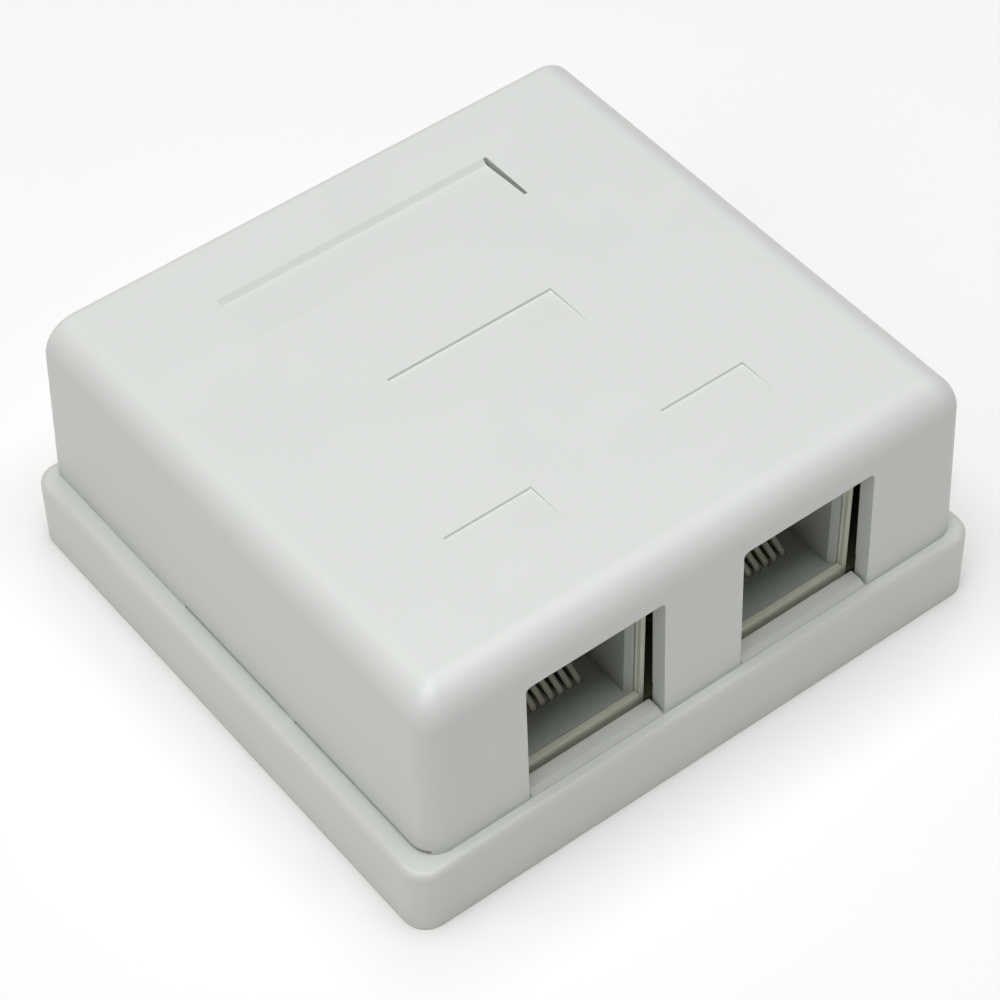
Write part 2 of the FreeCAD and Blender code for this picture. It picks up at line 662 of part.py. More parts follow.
def shorten_tongue(body, side, middle, tongue_outer, tongue_inner):
    """Take the tongue's ends back from the sides of a port opening, and leave the wall as it is."""
    gap = size["tongue_gap"]
    low = seam - size["tongue_depth"] - gap
    high = seam + size["tongue_root"] + gap
    deep = cover_front + tongue_inner + gap
    sketch = new_sketch(body, f"tongue_end_outline_{side}", "YZ_Plane", middle)
    outline(sketch, [(cover_front + tongue_outer, low), (deep, low), (deep, high),
                     (cover_front + size["cover_wall"], high), (cover_front + size["cover_wall"], seam),
                     (cover_front + tongue_outer, seam)])
    length = size["notch_width"] + 2 * size["tongue_relief"]
    pocket(body, f"tongue_end_{side}", sketch, length, Midplane=True)


def round_cover(body):
    """Round shoulders at the front, left and right, then the front corners and the edges of the back."""
    top = size["box_height"]
    fillet(body, "cover_shoulders", size["cover_shoulder"],
           lambda edge: flat_at(edge, top) and not back_edge(edge))
    fillet(body, "cover_front_corners", size["cover_corner"],
           lambda edge: upright(edge) and edge.BoundBox.YMax < 0)
    fillet(body, "cover_back_edges", size["cover_back_round"],
           lambda edge: upright(edge) and edge.BoundBox.YMin > 0)


def recess(body, name, middle, kind):
    """A wedge-shaped recess in the top: deep near its sloping back, running out at its front."""
    top = size["box_height"]
    sink = size[kind + "_sink"]
    back_edge = back - size[kind + "_back"]
    front_edge = back_edge - size[kind + "_depth"]
    sketch = new_sketch(body, name + "_outline", "YZ_Plane", middle)
    outline(sketch, [(front_edge, top), (back_edge - size[kind + "_slope"], top - sink),
                     (back_edge, top), (back_edge, top + sink)])
    return pocket(body, name, sketch, size[kind + "_width"], Midplane=True)


def breakout_groove(body):
    """A thin line round the part of the back wall that is broken out for a surface-run cable."""
    half = size["breakout_width"] / 2
    line = size["breakout_line"]
    low = seam
    high = seam + size["breakout_height"]
    sketch = new_sketch(body, "breakout_outline", "XZ_Plane", size["breakout_web"] - cover_back)
    outline(sketch, [(-half, low), (-half + line, low), (-half + line, high - line),
                     (half - line, high - line), (half - line, low), (half, low),
                     (half, high), (-half, high)])
    tongue_inner = size["seat_width"] + size["tongue_gap"] + size["tongue_thickness"]
    pocket(body, "breakout_line", sketch, tongue_inner, Reversed=True)


def build_board():
    """The circuit board with its holes for screws, jack pegs and solder pins."""
    body = new_body("circuit_board")
    under = size["board_under"]
    sketch = new_sketch(body, "board_outline", offset=under)
    rounded_rectangle(sketch, -board_half_width, board_half_width, board_front, board_back,
                      size["board_corner"])
    pad(body, "board_sheet", sketch, size["board_thickness"])

    sketch = new_sketch(body, "mounting_hole_outline", offset=board_top)
    peg_y = jack_face + size["peg_setback"]
    for screw_y in screw_places.values():
        circle(sketch, 0, screw_y, size["screw_radius"] + size["screw_hole_gap"])
    for side in (-1, 1):
        for step in (-1, 1):
            peg_x = side * port_x + step * size["peg_spacing"] / 2
            circle(sketch, peg_x, peg_y, size["peg_radius"] + size["hole_gap"])
    pocket(body, "mounting_holes", sketch, size["board_thickness"])

    sketch = new_sketch(body, "contact_hole_outline", offset=board_top)
    for side in SIDES.values():
        for number in range(1, CONTACTS + 1):
            circle(sketch, side * port_x + contact_x(number), jack_face + pin_y(number),
                   size["pin_hole_radius"])
    pocket(body, "contact_holes", sketch, size["board_thickness"])

    sketch = new_sketch(body, "clip_hole_outline", offset=board_top)
    for side in SIDES.values():
        for number in range(1, CONTACTS + 1):
            clip_x, clip_y = clip_place(number)
            circle(sketch, side * port_x + clip_x, block_y + clip_y, size["clip_hole_radius"])
    pocket(body, "clip_holes", sketch, size["board_thickness"])
    return body


def contact_x(number):
    """Place of a contact to the right of its jack's middle."""
    return size["contact_pitch"] * (number - (CONTACTS + 1) / 2)


def pin_y(number):
    """Solder pins stand in two rows: even contacts in the back row."""
    return size["pin_row"] + size["pin_stagger"] if number % 2 == 0 else size["pin_row"]


def clip_place(number):
    """Place of a terminal clip from the middle of its block: two rows of wires."""
    column = (number - 1) % WIRES_PER_ROW
    along = size["wire_pitch"] * (column - (WIRES_PER_ROW - 1) / 2)
    across = size["row_spacing"] / 2
    return along, -across if number <= WIRES_PER_ROW else across


def build_screw(end):
    """A pan-head screw that holds the board down on its boss."""
    body = new_body(f"board_screw_{end}")
    shank = size["screw_radius"]
    length = size["screw_length"]
    sketch = new_sketch(body, "screw_outline", "XZ_Plane")
    tip = shank / 2
    outline(sketch, [(0, -length), (tip, -length), (shank, tip - length), (shank, 0),
                     (size["head_radius"], 0), (size["head_radius"], size["head_height"] / 2),
                     (size["head_radius"] - size["head_height"] / 2, size["head_height"]),
                     (0, size["head_height"])])
    axis = (origin_feature(body, "Z_Axis"), [""])
    settings = {"Profile": sketch, "ReferenceAxis": axis, "Angle": FULL_TURN}
    add_feature(body, "PartDesign::Revolution", "screw_blank", True, settings)
    bar = size["recess_width"] / 2
    arm = size["recess_length"] / 2
    sketch = new_sketch(body, "recess_outline", offset=size["head_height"])
    outline(sketch, [(-bar, -arm), (bar, -arm), (bar, -bar), (arm, -bar), (arm, bar), (bar, bar),
                     (bar, arm), (-bar, arm), (-bar, bar), (-arm, bar), (-arm, -bar), (-bar, -bar)])
    pocket(body, "cross_recess", sketch, size["recess_depth"])
    place(body, 0, screw_places[end], board_top)
    return body


def build_housing(side):
    """The jack's outer shell: front frame, thin walls, open back and two pegs."""
    body = new_body(f"jack_housing_{side}")
    half = size["jack_width"] / 2
    height = size["jack_height"]
    depth = size["jack_depth"]
    wall = size["jack_wall"]
    sketch = new_sketch(body, "housing_outline")
    rectangle(sketch, -half, half, 0, depth)
    pad(body, "housing_block", sketch, height)
    sketch = new_sketch(body, "housing_bore_outline", "XZ_Plane", -depth)
    rectangle(sketch, wall - half, half - wall, wall, height - wall)
    pocket(body, "housing_bore", sketch, depth - size["bezel_depth"], Reversed=True)
    opening = size["bezel_opening"] / 2
    sketch = new_sketch(body, "bezel_outline", "XZ_Plane")
    rectangle(sketch, -opening, opening, size["bezel_sill"], height - size["bezel_lintel"])
    pocket(body, "bezel_opening", sketch, size["bezel_depth"])
    sketch = new_sketch(body, "pin_window_outline")
    window = contact_x(CONTACTS) + size["contact_width"]
    rectangle(sketch, -window, window, size["pin_row"] - size["contact_pitch"], depth)
    pocket(body, "pin_window", sketch, wall, Reversed=True)
    sketch = new_sketch(body, "peg_outline")
    for step in (-1, 1):
        circle(sketch, step * size["peg_spacing"] / 2, size["peg_setback"], size["peg_radius"])
    pad(body, "pegs", sketch, size["board_thickness"], Reversed=True)
    place(body, SIDES[side] * port_x, jack_face, board_top)
    return body


def build_carrier(side):
    """The insert inside the jack: plug cavity, latch channel and a comb that guides the contacts."""
    body = new_body(f"contact_carrier_{side}")
    skin = size["jack_wall"] + size["carrier_gap"]
    half = size["jack_width"] / 2 - skin
    low = skin
    high = size["jack_height"] - skin
    face = size["bezel_depth"] + size["carrier_gap"]
    sketch = new_sketch(body, "carrier_outline", offset=low)
    rectangle(sketch, -half, half, face, size["jack_depth"])
    pad(body, "carrier_block", sketch, high - low)

    floor = size["plug_floor"]
    roof = floor + size["plug_height"]
    plug = size["plug_width"] / 2
    latch = size["latch_width"] / 2
    sketch = new_sketch(body, "cavity_outline", "XZ_Plane", -face)
    outline(sketch, [(-plug, floor), (plug, floor), (plug, roof), (latch, roof),
                     (latch, roof + size["latch_height"]), (-latch, roof + size["latch_height"]),
                     (-latch, roof), (-plug, roof)])
    pocket(body, "plug_cavity", sketch, size["plug_depth"] - face)
    sketch = new_sketch(body, "mouth_outline", "XZ_Plane", -face)
    rectangle(sketch, -plug, plug, floor, roof + size["latch_height"])
    pocket(body, "mouth", sketch, size["mouth_depth"] - face)

    def mouth_side(edge):
        box = edge.BoundBox
        across = near(box.YMin, face) and near(box.YMax, face)
        side_edge = near(abs(box.XMin), plug) and near(box.XMin, box.XMax)
        return across and side_edge and upright(edge)

    chamfer(body, "lead_in", size["lead_in"], mouth_side)

    comb_front = size["comb_front"]
    comb_floor = size["comb_floor"]
    bite = size["plug_depth"] + size["comb_bite"]
    lead_top = size["contact_lead"] + size["contact_thickness"]
    pin_front = size["pin_row"] - size["contact_pitch"] / 2
    depth = size["jack_depth"]
    sketch = new_sketch(body, "comb_outline", "YZ_Plane", contact_x(1))
    outline(sketch, [(comb_front, comb_floor), (pin_front, comb_floor), (pin_front, 0), (depth, 0),
                     (depth, lead_top), (bite, lead_top), (bite, size["comb_top"]),
                     (size["plug_depth"] - size["lead_in"], size["comb_top"]),
                     (size["plug_depth"] - size["lead_in"], floor + size["lead_in"]),
                     (comb_front, floor + size["lead_in"])])
    slot = pocket(body, "comb_slot", sketch, size["comb_width"], Midplane=True)
    run = size["contact_pitch"] * (CONTACTS - 1)
    row(body, "comb_slots", slot, "X_Axis", run, CONTACTS, False)
    place(body, SIDES[side] * port_x, jack_face, board_top)
    return body


def build_contact(side, number):
    """One contact wire: solder pin, lead under the floor, front bend and sprung free leg."""
    body = new_body(f"contact_{side}_{number}")
    pin = pin_y(number)
    lead = size["contact_lead"]
    elbow = size["contact_elbow"]
    bend = size["contact_bend"]
    pin_end = -(size["board_thickness"] + size["pin_stick_out"])
    spine = new_sketch(body, "contact_path", "YZ_Plane")
    contact_path(spine, pin, pin_end, lead, elbow, bend)
    section = new_sketch(body, "contact_section", offset=pin_end)
    half_width = size["contact_width"] / 2
    half_metal = size["contact_thickness"] / 2
    rectangle(section, -half_width, half_width, pin - half_metal, pin + half_metal)
    settings = {"Profile": section, "Spine": (spine, [])}
    add_feature(body, "PartDesign::AdditivePipe", "contact_wire", True, settings)
    place(body, SIDES[side] * port_x + contact_x(number), jack_face, board_top)
    return body


def contact_path(sketch, pin, pin_end, lead, elbow, bend):
    """Middle line of a contact in its own side view, with the free leg rising to the back."""
    slope = math.radians(size["contact_slope"].number)
    y, z, e, b = (number_of(value) for value in (pin, lead, elbow, bend))
    bend_y = number_of(size["contact_front"]) + b
    up = FreeCAD.Vector(0, 0, 1)
    leg_start = FreeCAD.Vector(bend_y - b * math.sin(slope), z + b + b * math.cos(slope), 0)
    reach = number_of(size["contact_reach"]) - leg_start.x
    leg_end = leg_start + FreeCAD.Vector(reach, reach * math.tan(slope), 0)
    quarter = Part.ArcOfCircle(Part.Circle(FreeCAD.Vector(y - e, z - e, 0), up, e), 0, math.pi / 2)
    half = Part.ArcOfCircle(Part.Circle(FreeCAD.Vector(bend_y, z + b, 0), up, b),
                            math.pi / 2 + slope, 3 * math.pi / 2)
    pin_line = sketch.addGeometry(Part.LineSegment(FreeCAD.Vector(y, number_of(pin_end), 0),
                                                   FreeCAD.Vector(y, z - e, 0)))
    elbow_arc = sketch.addGeometry(quarter)
    lead_line = sketch.addGeometry(Part.LineSegment(FreeCAD.Vector(y - e, z, 0),
                                                    FreeCAD.Vector(bend_y, z, 0)))
    bend_arc = sketch.addGeometry(half)
    leg_line = sketch.addGeometry(Part.LineSegment(leg_start, leg_end))
    joins = [(pin_line, 2, elbow_arc, 1), (elbow_arc, 2, lead_line, 1),
             (lead_line, 2, bend_arc, 2), (bend_arc, 1, leg_line, 1)]
    for join in joins:
        sketch.addConstraint(Sketcher.Constraint("Tangent", *join))
    sketch.addConstraint(Sketcher.Constraint("Vertical", pin_line))
    sketch.addConstraint(Sketcher.Constraint("Horizontal", lead_line))
    hold(sketch, pin_line, 1, pin, pin_end)
    held = [("DistanceY", (-1, 1, lead_line, 1), lead), ("Radius", (elbow_arc,), elbow),
            ("Radius", (bend_arc,), bend),
            ("DistanceX", (-1, 1, lead_line, 2), size["contact_front"] + bend),
            ("DistanceX", (-1, 1, leg_line, 2), size["contact_reach"])]
    for kind, places, value in held:
        index = sketch.addConstraint(Sketcher.Constraint(kind, *places, number_of(value)))
        sketch.setExpression(f"Constraints[{index}]", text_of(value))
    index = sketch.addConstraint(Sketcher.Constraint("Angle", -1, 1, leg_line, 1, slope))
    sketch.setExpression(f"Constraints[{index}]", text_of(size["contact_slope"]))


def build_block(side):
    """A terminal block: a slab with two rows of towers, and a slot for a clip in every gap."""
    body = new_body(f"terminal_block_{side}")
    half_width = size["block_width"] / 2
    half_depth = size["block_depth"] / 2
    slab = size["block_slab"]
    sketch = new_sketch(body, "block_outline")
    rectangle(sketch, -half_width, half_width, -half_depth, half_depth)
    pad(body, "block_slab", sketch, slab)

    pitch = size["wire_pitch"]
    row_y = size["row_spacing"] / 2
    half_tower = (pitch - size["wire_gap"]) / 2
    tower_depth = size["tower_depth"] / 2
    tower_top = slab + size["tower_height"]
    first = -(pitch * WIRES_PER_ROW / 2)
    roof = size["tower_roof"]
    for name, middle in (("front_towers", -row_y), ("back_towers", row_y)):
        sketch = new_sketch(body, name + "_outline", "XZ_Plane", -middle)
        outline(sketch, [(first - half_tower, slab), (first + half_tower, slab),
                         (first + half_tower, tower_top - roof), (first, tower_top),
                         (first - half_tower, tower_top - roof)])
        tower = pad(body, name + "_first", sketch, 2 * tower_depth, Midplane=True)
        row(body, name, tower, "X_Axis", pitch * WIRES_PER_ROW, WIRES_PER_ROW + 1, True)

    slot_half = size["clip_width"] / 2 + size["clip_gap"]
    slot_metal = size["clip_thickness"] / 2 + size["clip_gap"]
    start = -(pitch * (WIRES_PER_ROW - 1) / 2)
    sketch = new_sketch(body, "clip_slot_outline", offset=tower_top)
    for middle in (-row_y, row_y):
        rectangle(sketch, start - slot_half, start + slot_half, middle - slot_metal, middle + slot_metal)
    slot = pocket(body, "clip_slot", sketch, tower_top)
    row(body, "clip_slots", slot, "X_Axis", pitch * (WIRES_PER_ROW - 1), WIRES_PER_ROW, False)
    place(body, SIDES[side] * port_x, block_y, board_top)
    return body


def build_clip(side, number):
    """One terminal clip: a flat fork whose slit bites the wire, on a solder pin."""
    body = new_body(f"terminal_clip_{side}_{number}")
    half = size["clip_width"] / 2
    slit = size["clip_slit"] / 2
    mouth = size["clip_mouth"] / 2
    pin = size["clip_pin_width"] / 2
    top = size["clip_height"]
    low = size["clip_lift"]
    pin_end = -(size["board_thickness"] + size["pin_stick_out"])
    sketch = new_sketch(body, "clip_outline", "XZ_Plane")
    outline(sketch, [(-pin, pin_end), (pin, pin_end), (pin, low), (half, low), (half, top),
                     (mouth, top), (slit, top - size["clip_mouth_depth"]),
                     (slit, top - size["clip_slit_depth"]), (-slit, top - size["clip_slit_depth"]),
                     (-slit, top - size["clip_mouth_depth"]), (-mouth, top), (-half, top), (-half, low),
                     (-pin, low)])
    pad(body, "clip_blank", sketch, size["clip_thickness"], Midplane=True)
    clip_x, clip_y = clip_place(number)
    place(body, SIDES[side] * port_x + clip_x, block_y + clip_y, board_top)
    return body


def build_all():
    """Every piece of the box."""
    bodies = [build_base(), build_cover(), build_board()]
    bodies += [build_screw(end) for end in screw_places]
    for side in SIDES:
        bodies += [build_housing(side), build_carrier(side), build_block(side)]
        bodies += [build_contact(side, number) for number in range(1, CONTACTS + 1)]
        bodies += [build_clip(side, number) for number in range(1, CONTACTS + 1)]
    return bodies


def finish(bodies):
    """Check every object, then write one file for each piece."""
    doc.recompute()
    for item in doc.Objects:
        if "Invalid" in item.State or "Error" in item.State:
            raise RuntimeError(f"{item.Label} is in state {item.State}")
    os.makedirs("parts", exist_ok=True)
    for body in bodies:
        if body.Shape.isNull() or not body.Shape.isValid():
            raise RuntimeError(f"{body.Label} has no valid shape")
        body.Shape.exportStep(f"parts/{body.Label}.step")


if __name__ == "__main__":
    finish(build_all())
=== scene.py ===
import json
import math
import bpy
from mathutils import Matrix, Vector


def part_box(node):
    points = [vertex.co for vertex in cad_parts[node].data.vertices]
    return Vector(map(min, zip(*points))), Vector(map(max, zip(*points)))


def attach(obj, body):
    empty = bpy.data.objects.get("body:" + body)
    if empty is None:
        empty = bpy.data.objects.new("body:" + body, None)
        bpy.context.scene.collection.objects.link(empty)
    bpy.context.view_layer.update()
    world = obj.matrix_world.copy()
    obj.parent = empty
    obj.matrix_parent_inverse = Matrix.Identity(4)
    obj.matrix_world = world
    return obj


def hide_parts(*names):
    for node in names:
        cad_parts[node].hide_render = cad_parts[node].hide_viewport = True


bl_info = {
    "name": "Surface Mount Jack Box",
    "version": (1, 0, 0),
    "blender": (4, 5, 0),
    "location": "View3D > Sidebar > Jack Box",
    "description": "Moulded wall box with two modular jacks, its materials and its studio",
    "category": "Object",
}

import bmesh
import bpy
from bpy.props import FloatProperty, FloatVectorProperty, PointerProperty
from mathutils import Matrix, Vector

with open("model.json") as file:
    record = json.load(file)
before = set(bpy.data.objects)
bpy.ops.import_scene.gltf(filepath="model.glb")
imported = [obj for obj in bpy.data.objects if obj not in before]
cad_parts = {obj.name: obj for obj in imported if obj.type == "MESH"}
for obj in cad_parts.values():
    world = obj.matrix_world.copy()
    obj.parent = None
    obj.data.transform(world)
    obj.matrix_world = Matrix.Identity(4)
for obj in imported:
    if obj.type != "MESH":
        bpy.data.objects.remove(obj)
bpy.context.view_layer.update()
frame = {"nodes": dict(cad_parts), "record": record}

MM = 0.001
BASE_UNIT = "base_unit"
LID = "lid"
SIDES = ("left", "right")
CONTACTS = 8
# The numbers in each of the two rows that a jack's contacts, and its terminals, stand in
ROWS = {"contact": (range(1, CONTACTS + 1, 2), range(2, CONTACTS + 1, 2)),
        "terminal_clip": (range(1, CONTACTS // 2 + 1), range(CONTACTS // 2 + 1, CONTACTS + 1))}
# A surface that turns by more than this shows a crisp edge
CRISP_ANGLE = math.radians(28)
# The materials by name, once they are made
MADE = {}


# The settings that a user would change


def linear(hex_colour):
    """An sRGB hex colour as linear red, green and blue."""
    channels = [int(hex_colour[place:place + 2], 16) / 255 for place in (1, 3, 5)]
    return tuple(c / 12.92 if c <= 0.04045 else ((c + 0.055) / 1.055) ** 2.4 for c in channels)


def colour(name, description, hex_colour):
    """A colour setting from an sRGB hex value."""
    return FloatVectorProperty(name=name, description=description, subtype="COLOR",
                               min=0.0, max=1.0, default=linear(hex_colour))


def length(name, description, millimetres):
    """A length setting, given in millimetres."""
    return FloatProperty(name=name, description=description, unit="LENGTH", default=millimetres * MM)


def angle(name, description, degrees):
    """An angle setting, given in degrees."""
    return FloatProperty(name=name, description=description, subtype="ANGLE",
                         default=math.radians(degrees))


def power(name, description, watts):
    """A light's power setting, given in watts."""
    return FloatProperty(name=name, description=description, unit="POWER", default=watts)


class JackBoxFinish(bpy.types.PropertyGroup):
    """Colours and surface values of the box."""

    cover_colour: colour("Cover", "Grey-white ABS of the cover", "#d9dcd8")
    # The base is the same ABS as the cover; its colour is set a touch darker, as painted shade for its
    # walls low down by the floor
    base_colour: colour("Base", "Grey-white ABS of the base", "#d7dad4")
    housing_colour: colour("Jack housing", "Ivory polycarbonate of the jacks", "#d8d9c8")
    carrier_colour: colour("Contact carrier", "Mid-grey nylon inside the jacks", "#b2b7af")
    gold_colour: colour("Contacts", "Thin gold over nickel", "#fbf6ea")
    tin_colour: colour("Terminals", "Matt tin on the forks", "#c4c6c7")
    solder_colour: colour("Solder", "Solder on the pins", "#c9cbcc")
    zinc_colour: colour("Screws", "Blue zinc on the screws", "#b4bac2")
    laminate_colour: colour("Board", "Natural glass-epoxy laminate", "#a9a582")
    track_colour: colour("Tracks", "Copper tracks under a clear coat", "#9c7c58")
    block_colour: colour("Terminal block", "Natural nylon of the blocks", "#e2e0d4")
    floor_colour: colour("Floor", "Pale paper floor", "#f7f7f6")
    texture_depth: length("Mould texture", "Depth of the fine texture of the mouldings", 0.004)
    texture_grain: length("Mould grain", "Grain size of that texture, as it is drawn", 0.35)


class JackBoxSizes(bpy.types.PropertyGroup):
    """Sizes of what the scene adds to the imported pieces."""

    soft_edge: length("Moulded edge", "Radius left on the sharp edges of the mouldings", 0.07)
    joint_radius: length("Solder joint", "Radius of a solder joint on the board", 0.48)
    joint_height: length("Solder height", "Height of a solder joint", 0.65)
    track_width: length("Track width", "Width of a copper track on the board", 0.5)
    track_height: length("Track height", "How far a track stands proud", 0.04)


class JackBoxStage(bpy.types.PropertyGroup):
    """Camera and studio light."""

    azimuth: angle("Azimuth", "Camera's bearing round the box", -37.112)
    elevation: angle("Elevation", "Camera's height over the horizon", 47.930)
    roll: angle("Roll", "Camera's turn about its own axis", -1.131)
    camera_place: FloatVectorProperty(name="Camera", description="Camera's place in the box's frame",
                                      subtype="XYZ", unit="LENGTH",
                                      default=(-0.126417, -0.167241, 0.240169))
    lens: FloatProperty(name="Lens", description="Focal length", unit="CAMERA", default=120.2)
    dome: FloatProperty(name="Dome", description="Strength of the even light all round", default=0.02)
    overhead: power("Overhead", "Power of the soft box overhead", 8.7)
    side: power("Side", "Power of the soft box to the left", 1.6)
    fill: power("Fill", "Power of the soft box in front", 0.2)


# The materials


def add_node(tree, kind, settings=None, inputs=None):
    """A node with its settings; an input takes a value or another node's output socket."""
    node = tree.nodes.new(kind)
    for name, value in (settings or {}).items():
        setattr(node, name, value)
    for name, value in (inputs or {}).items():
        if isinstance(value, bpy.types.NodeSocket):
            tree.links.new(value, node.inputs[name])
        else:
            node.inputs[name].default_value = value
    return node


def new_material(name, base, values):
    """A material with one Principled shader; returns it with its tree, shader and Object coordinates."""
    material = bpy.data.materials.new(name)
    material.use_nodes = True
    tree = material.node_tree
    tree.nodes.clear()
    principled = add_node(tree, "ShaderNodeBsdfPrincipled",
                          inputs={"Base Color": (*base, 1.0), **values})
    add_node(tree, "ShaderNodeOutputMaterial", inputs={"Surface": principled.outputs["BSDF"]})
    place = add_node(tree, "ShaderNodeTexCoord").outputs["Object"]
    return material, tree, principled, place


def work_in(pattern, tree, principled, tones=None, roughness=None, relief=None):
    """Let a 0 to 1 pattern show in a surface's colour, in its roughness and as relief of a real depth."""
    if tones:
        ramp = add_node(tree, "ShaderNodeValToRGB", inputs={"Fac": pattern})
        for element, tone in zip(ramp.color_ramp.elements, tones):
            element.color = (*tone, 1.0)
        tree.links.new(ramp.outputs["Color"], principled.inputs["Base Color"])
    if roughness:
        low, high = roughness
        spread = add_node(tree, "ShaderNodeMapRange",
                          inputs={"Value": pattern, "To Min": low, "To Max": high})
        tree.links.new(spread.outputs["Result"], principled.inputs["Roughness"])
    if relief:
        bump = add_node(tree, "ShaderNodeBump",
                        inputs={"Height": pattern, "Distance": relief, "Strength": 1.0})
        tree.links.new(bump.outputs["Normal"], principled.inputs["Normal"])


def darkened(base, share):
    """A share of a colour's red, green and blue."""
    return tuple(channel * share for channel in base)


def moulded(name, base, roughness, depth, grain, ior=1.53, shade=0.97):
    """Injection-moulded plastic: a fine eroded texture, and a faint cloud in colour and gloss."""
    cloud_size = 9.0 * MM
    smoother = 0.03
    rougher = 0.04
    values = {"Roughness": roughness, "IOR": ior}
    material, tree, principled, place = new_material(name, base, values)
    cloud = add_node(tree, "ShaderNodeTexNoise",
                     inputs={"Vector": place, "Scale": 1.0 / cloud_size, "Detail": 1.0})
    texture = add_node(tree, "ShaderNodeTexNoise",
                       inputs={"Vector": place, "Scale": 1.0 / grain, "Detail": 3.0})
    work_in(cloud.outputs["Fac"], tree, principled, tones=(darkened(base, shade), base),
            roughness=(roughness - smoother, roughness + rougher))
    work_in(texture.outputs["Fac"], tree, principled, relief=depth)
    return material


def plated(name, base, roughness, depth, grain):
    """Plated or tinned metal with a faint unevenness in its gloss."""
    smoother = 0.06
    rougher = 0.1
    values = {"Roughness": roughness, "Metallic": 1.0}
    material, tree, principled, place = new_material(name, base, values)
    spots = add_node(tree, "ShaderNodeTexNoise",
                     inputs={"Vector": place, "Scale": 1.0 / grain, "Detail": 2.0})
    work_in(spots.outputs["Fac"], tree, principled,
            roughness=(roughness - smoother, roughness + rougher), relief=depth)
    return material


def board_coat(name, base, roughness):
    """A clear coat over woven glass: glossy, with the weave faintly showing through."""
    # The real weave is about 0.5 mm, too fine to show, so it is drawn coarser
    weave_size = 0.8 * MM
    weave_shade = 0.93
    ripple_size = 2.5 * MM
    ripple_depth = 0.01 * MM
    values = {"Roughness": roughness, "IOR": 1.55, "Coat Weight": 0.4}
    material, tree, principled, place = new_material(name, base, values)
    threads = add_node(tree, "ShaderNodeTexChecker", inputs={"Vector": place, "Scale": 1.0 / weave_size})
    patches = add_node(tree, "ShaderNodeTexNoise",
                       inputs={"Vector": place, "Scale": 1.0 / weave_size, "Detail": 2.0})
    weave = add_node(tree, "ShaderNodeMath", {"operation": "MULTIPLY"},
                     {0: threads.outputs["Fac"], 1: patches.outputs["Fac"]})
    ripple = add_node(tree, "ShaderNodeTexNoise",
                      inputs={"Vector": place, "Scale": 1.0 / ripple_size, "Detail": 2.0})
    work_in(weave.outputs[0], tree, principled, tones=(base, darkened(base, weave_shade)))
    work_in(ripple.outputs["Fac"], tree, principled, relief=ripple_depth)
    return material


def paper(name, base, roughness):
    """Matt paper with a fine tooth."""
    tooth_size = 0.6 * MM
    tooth_depth = 0.01 * MM
    material, tree, principled, place = new_material(name, base, {"Roughness": roughness})
    tooth = add_node(tree, "ShaderNodeTexNoise",
                     inputs={"Vector": place, "Scale": 1.0 / tooth_size, "Detail": 3.0})
    work_in(tooth.outputs["Fac"], tree, principled, relief=tooth_depth)
    return material


def make_materials(finish):
    """Every material of the box by name."""
    # A spark-eroded mould leaves a grain of about 0.05 mm, too fine to show, so it is drawn coarser
    eroded = {"depth": finish.texture_depth, "grain": finish.texture_grain}
    polished = {"depth": finish.texture_depth / 2, "grain": finish.texture_grain}
    fibrous = {"depth": finish.texture_depth, "grain": finish.texture_grain / 2}
    return {
        # Grey-white ABS from a spark-eroded mould: even, low gloss, no pattern seen at arm's length
        "cover ABS": moulded("moulded_abs_cover", finish.cover_colour, roughness=0.42, **eroded),
        # The base's ABS is the cover's, painted a touch darker: painted shade for its lower walls
        "base ABS": moulded("moulded_abs_base", finish.base_colour, roughness=0.44, **eroded),
        # Ivory polycarbonate from a polished mould: a little glossier and yellower than the box
        "housing": moulded("moulded_polycarbonate_ivory", finish.housing_colour, roughness=0.36,
                           ior=1.58, **polished),
        # Mid-grey glass-filled nylon: dull, with fibres that roughen the skin
        "carrier": moulded("moulded_nylon_grey", finish.carrier_colour, roughness=0.5,
                           shade=0.85, **fibrous),
        # Natural nylon of the terminal blocks: milky and soft in gloss
        "block": moulded("moulded_nylon_natural", finish.block_colour, roughness=0.38, **eroded),
        # Flash gold over matt nickel on phosphor bronze: pale, warm and dull
        "gold": plated("gold_plated_bronze", finish.gold_colour, roughness=0.7,
                       depth=0.001 * MM, grain=0.4 * MM),
        # Matt tin on bronze: soft grey metal
        "tin": plated("tinned_bronze", finish.tin_colour, roughness=0.38,
                      depth=0.002 * MM, grain=0.3 * MM),
        # Solder: bright where it flowed, wrinkled where it froze
        "solder": plated("solder_joint", finish.solder_colour, roughness=0.22,
                         depth=0.01 * MM, grain=0.5 * MM),
        # Zinc-plated steel with a blue passivation: a cool, even shine
        "zinc": plated("zinc_plated_steel", finish.zinc_colour, roughness=0.3,
                       depth=0.004 * MM, grain=0.3 * MM),
        # Natural glass-epoxy board under a clear coat: glossy olive, with the weave just showing
        "board": board_coat("epoxy_board_coat", finish.laminate_colour, roughness=0.3),
        # Copper under the same coat: brown and a little glossier
        "track": board_coat("coated_copper_track", finish.track_colour, roughness=0.26),
        # Matt white paper under the box: bright, with no shine
        "floor": paper("paper_floor", finish.floor_colour, roughness=0.9),
    }


def material_named(name):
    """The finished material of that kind; all of them are made at the first call."""
    if not MADE:
        MADE.update(make_materials(bpy.context.scene.jack_box_finish))
    return MADE[name]


# Working a mesh


def welded(node):
    """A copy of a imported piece's mesh with its loose triangles joined."""
    weld_gap = 0.0005 * MM
    flat_angle = math.radians(0.5)
    mesh = frame["nodes"][node].data.copy()
    work = bmesh.new()
    work.from_mesh(mesh)
    bmesh.ops.remove_doubles(work, verts=work.verts, dist=weld_gap)
    bmesh.ops.dissolve_limit(work, angle_limit=flat_angle, verts=work.verts, edges=work.edges)
    for face in work.faces:
        face.smooth = True
    work.to_mesh(mesh)
    work.free()
    return mesh


